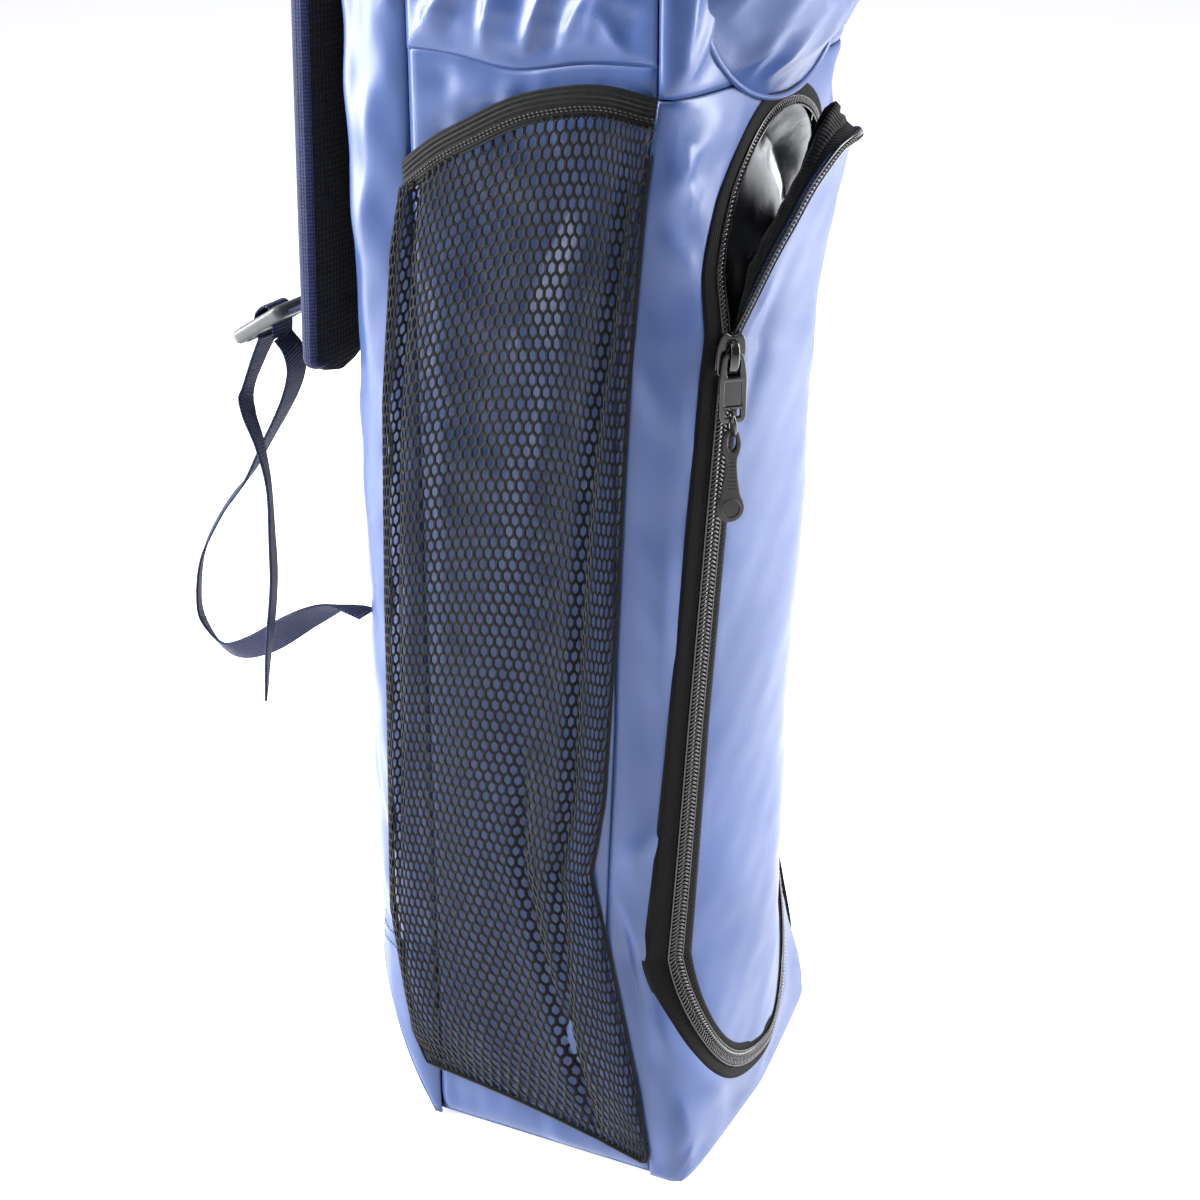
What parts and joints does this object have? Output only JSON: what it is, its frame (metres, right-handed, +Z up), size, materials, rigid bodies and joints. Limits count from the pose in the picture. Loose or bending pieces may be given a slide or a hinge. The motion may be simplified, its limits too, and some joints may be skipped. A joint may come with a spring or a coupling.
{
  "type": "stick backpack",
  "caption": "Tall slim coated-fabric backpack for long sticks or rackets, with a zipped foil-lined front pocket, mesh side pockets and hinged lid.",
  "frame": {"origin": "on the underside of the base, on the middle line of the bag, below the main compartment", "axes": "+Z up the bag, -Y towards its front pocket, +Y towards the shoulder straps, X from side to side"},
  "size_m": [0.273, 0.4083, 0.937],
  "materials": {
    "coated_fabric": "glossy coated weave",
    "foam_lining": "matt knitted lining over foam",
    "pocket_mesh": "open hexagonal knit",
    "binding": "ribbed elastic",
    "zip_tape": "woven tape",
    "zip_coil": "moulded coil, semi-gloss",
    "foil": "metallised film, bright",
    "strap_fabric": "matt weave over foam",
    "webbing": "ribbed webbing",
    "slider_metal": "black lacquer, glossy",
    "puller_rubber": "matt, moulded texture",
    "lock_plastic": "moulded grey",
    "board": "stiffener sheet"
  },
  "bodies": {
    "bag": {"base_panel": "coated_fabric", "heel_panel": "coated_fabric", "rear_strip_left": "coated_fabric", "rear_strip_right": "coated_fabric", "side_panel_left": "coated_fabric", "side_panel_right": "coated_fabric", "upper_side_panel_left": "coated_fabric", "upper_side_panel_right": "coated_fabric", "front_facing": "coated_fabric", "upper_front_panel": "coated_fabric", "pocket_cover": "coated_fabric", "upper_front_pocket": "coated_fabric", "back_panel": "foam_lining", "back_pad_lower": "foam_lining", "back_pad_upper": "foam_lining", "inner_front_wall": "foam_lining", "strap_yoke": "foam_lining", "base_board": "board", "back_sheet": "board", "mesh_pocket_left": "pocket_mesh", "mesh_pocket_right": "pocket_mesh", "mesh_binding_left": "binding", "mesh_binding_right": "binding", "front_zip_outer_tape": "zip_tape", "front_zip_inner_tape": "zip_tape", "upper_zip_tape": "zip_tape", "main_zip_body_tape": "zip_tape", "front_zip_chain": "zip_coil", "front_zip_open_coil": "zip_coil", "main_zip_chain": "zip_coil", "pocket_lining": "foil", "lower_anchor_left": "webbing", "lower_anchor_right": "webbing", "webbing_loop_left": "webbing", "webbing_loop_right": "webbing"},
    "pocket_flap": {"pocket_flap": "coated_fabric", "flap_zip_tape": "zip_tape", "flap_coil": "zip_coil"},
    "front_slider": {"front_slider": "slider_metal"},
    "pull_tab": {"pull_tab": "slider_metal"},
    "pull_ring": {"pull_ring": "slider_metal"},
    "rubber_puller": {"rubber_puller": "puller_rubber"},
    "lid": {"top_lid": "coated_fabric", "main_zip_lid_tape": "zip_tape"},
    "main_slider": {"main_slider": "slider_metal"},
    "main_slider_pull": {"main_slider_pull": "slider_metal"},
    "upper_slider": {"upper_slider": "slider_metal"},
    "upper_slider_pull": {"upper_slider_pull": "slider_metal"},
    "haul_handle": {"haul_handle": "webbing"},
    "strap_left": {"shoulder_strap_left": "strap_fabric", "strap_tab_left": "webbing"},
    "lock_left": {"ladder_lock_left": "lock_plastic", "webbing_tail_left": "webbing"},
    "strap_right": {"shoulder_strap_right": "strap_fabric", "strap_tab_right": "webbing"},
    "lock_right": {"ladder_lock_right": "lock_plastic", "webbing_tail_right": "webbing"}
  },
  "joints": [
    {"name": "flap_fold", "type": "hinge", "parent": "bag", "child": "pocket_flap", "pos_m": [0, -0.1345, 0.531], "axis": [1, 0, 0], "range_deg": [-10, 70], "stiffness_Nm_per_rad": 0.08, "springref_deg": -1.72},
    {"name": "front_slider_run", "type": "slide", "parent": "bag", "child": "front_slider", "axis": [-0.0394, 0.0504, -0.998], "range_m": [0, 0.3]},
    {"name": "pull_tab_swing", "type": "hinge", "parent": "front_slider", "child": "pull_tab", "pos_m": [-0.09376, -0.12252, 0.51895], "axis": [-0.6613, 0.7501, 0], "range_deg": [0, 120]},
    {"name": "pull_ring_swing", "type": "hinge", "parent": "pull_tab", "child": "pull_ring", "pos_m": [-0.09376, -0.12252, 0.48465], "axis": [-0.6613, 0.7501, 0], "range_deg": [0, 40]},
    {"name": "rubber_puller_swing", "type": "hinge", "parent": "pull_ring", "child": "rubber_puller", "pos_m": [-0.09376, -0.12252, 0.48235], "axis": [-0.6613, 0.7501, 0], "range_deg": [0, 50]},
    {"name": "lid_fold", "type": "hinge", "parent": "bag", "child": "lid", "pos_m": [0, 0.114, 0.8886], "axis": [-1, 0, 0], "range_deg": [0, 95]},
    {"name": "main_slider_run", "type": "slide", "parent": "bag", "child": "main_slider", "axis": [0, -1, 0], "range_m": [0, 0.11]},
    {"name": "main_pull_swing", "type": "hinge", "parent": "main_slider", "child": "main_slider_pull", "pos_m": [-0.1262, 0.045, 0.8884], "axis": [0, 0, -1], "range_deg": [0, 160]},
    {"name": "upper_slider_run", "type": "slide", "parent": "bag", "child": "upper_slider", "axis": [1, 0, 0], "range_m": [0, 0.11]},
    {"name": "upper_pull_swing", "type": "hinge", "parent": "upper_slider", "child": "upper_slider_pull", "pos_m": [-0.057, -0.1335, 0.857], "axis": [0, -1, 0], "range_deg": [0, 160]},
    {"name": "handle_swing", "type": "hinge", "parent": "bag", "child": "haul_handle", "pos_m": [0, 0.121, 0.876], "axis": [1, 0, 0], "range_deg": [0, 90]},
    {"name": "strap_left_swing", "type": "hinge", "parent": "bag", "child": "strap_left", "pos_m": [-0.078, 0.118, 0.862], "axis": [1, 0, 0], "range_deg": [0, 45], "deforming": ["webbing_loop_left"]},
    {"name": "lock_left_swing", "type": "hinge", "parent": "strap_left", "child": "lock_left", "pos_m": [-0.078, 0.164, 0.506], "axis": [1, 0, 0], "range_deg": [0, 25]},
    {"name": "strap_right_swing", "type": "hinge", "parent": "bag", "child": "strap_right", "pos_m": [0.078, 0.118, 0.862], "axis": [1, 0, 0], "range_deg": [0, 45], "deforming": ["webbing_loop_right"]},
    {"name": "lock_right_swing", "type": "hinge", "parent": "strap_right", "child": "lock_right", "pos_m": [0.078, 0.164, 0.506], "axis": [1, 0, 0], "range_deg": [0, 25]}
  ]
}
